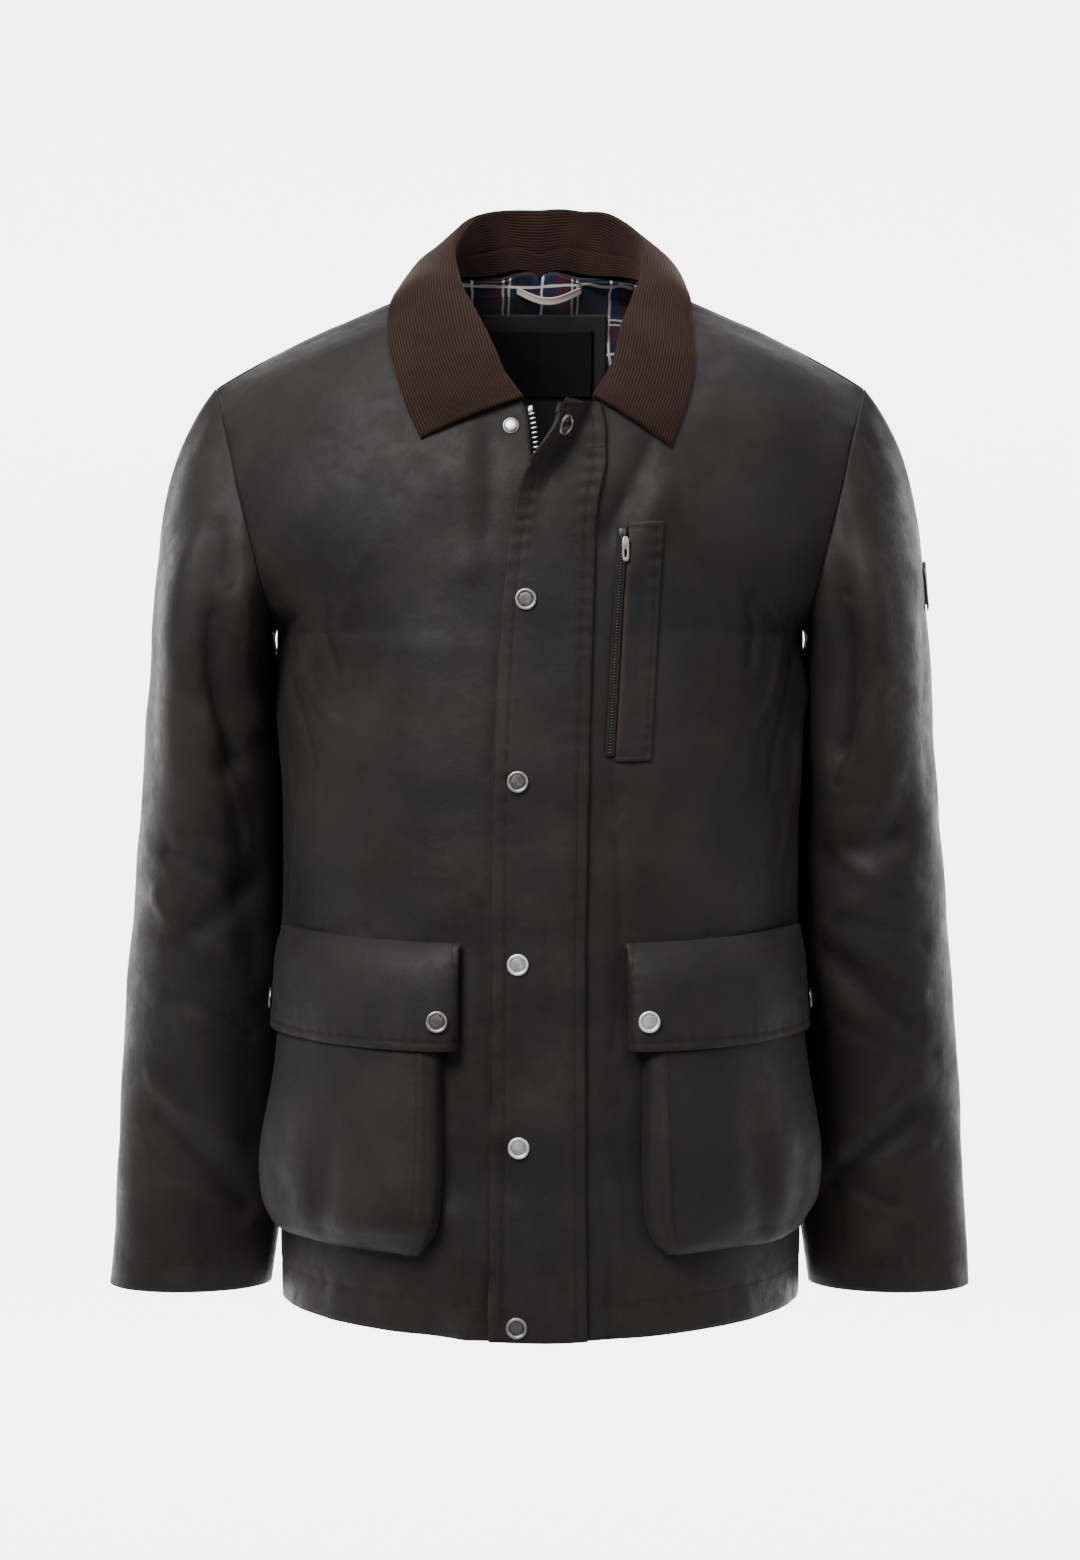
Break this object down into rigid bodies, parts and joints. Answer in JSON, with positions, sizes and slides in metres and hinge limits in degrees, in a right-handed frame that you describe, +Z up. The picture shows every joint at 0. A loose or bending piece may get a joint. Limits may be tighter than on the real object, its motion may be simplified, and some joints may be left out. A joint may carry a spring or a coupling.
{
  "type": "waxed cotton jacket",
  "caption": "Hip length waxed cotton field jacket with a corduroy collar, storm flap over a zip, flap patch pockets, chest welt and open sleeves, filled out as worn.",
  "frame": {"origin": "middle of the neck opening, level with the points where the shoulder seams meet the neckline", "axes": "+Z up, the front faces -Y, +X towards the wearer's left"},
  "size_m": [0.624, 0.3064, 0.7796],
  "materials": {
    "waxed_cloth": "waxed, soft sheen",
    "corduroy": "ribbed cotton pile",
    "tape": "woven zip tape",
    "zip_metal": "antique silver",
    "snap_metal": "antique nickel",
    "checked_lining": "soft woven check",
    "black_facing": "matt cotton",
    "label": "plain satin, bare",
    "loop_webbing": "narrow woven webbing"
  },
  "bodies": {
    "jacket": {"front_right": "waxed_cloth", "front_left": "waxed_cloth", "back": "waxed_cloth", "sleeve_right": "waxed_cloth", "sleeve_left": "waxed_cloth", "collar": "corduroy", "storm_flap": "waxed_cloth", "zip_tape_right": "tape", "zip_tape_left": "tape", "zip_teeth": "zip_metal", "zip_teeth_right": "zip_metal", "zip_teeth_left": "zip_metal", "zip_slider": "zip_metal", "zip_guard": "corduroy", "chest_welt": "waxed_cloth", "chest_zip": "tape", "chest_slider": "zip_metal", "pocket_right": "waxed_cloth", "pocket_left": "waxed_cloth", "pocket_flap_right": "waxed_cloth", "pocket_flap_left": "waxed_cloth", "snap_collarbone": "snap_metal", "snap_chest": "snap_metal", "snap_waist": "snap_metal", "snap_skirt": "snap_metal", "snap_hem": "snap_metal", "stud_top": "snap_metal", "snap_neck": "snap_metal", "snap_pocket_right_inner": "snap_metal", "snap_pocket_right_outer": "snap_metal", "snap_pocket_left_inner": "snap_metal", "snap_pocket_left_outer": "snap_metal", "neck_lining": "checked_lining", "neck_facing": "black_facing", "neck_label": "label", "hanger_loop": "loop_webbing", "sleeve_patch": "label"},
    "chest_pull": {"chest_pull": "zip_metal"}
  },
  "joints": [
    {"name": "chest_pull_swing", "type": "hinge", "parent": "jacket", "child": "chest_pull", "pos_m": [0.0583, -0.12921, -0.16915], "axis": [-1, 0, 0], "range_deg": [0, 150]}
  ]
}
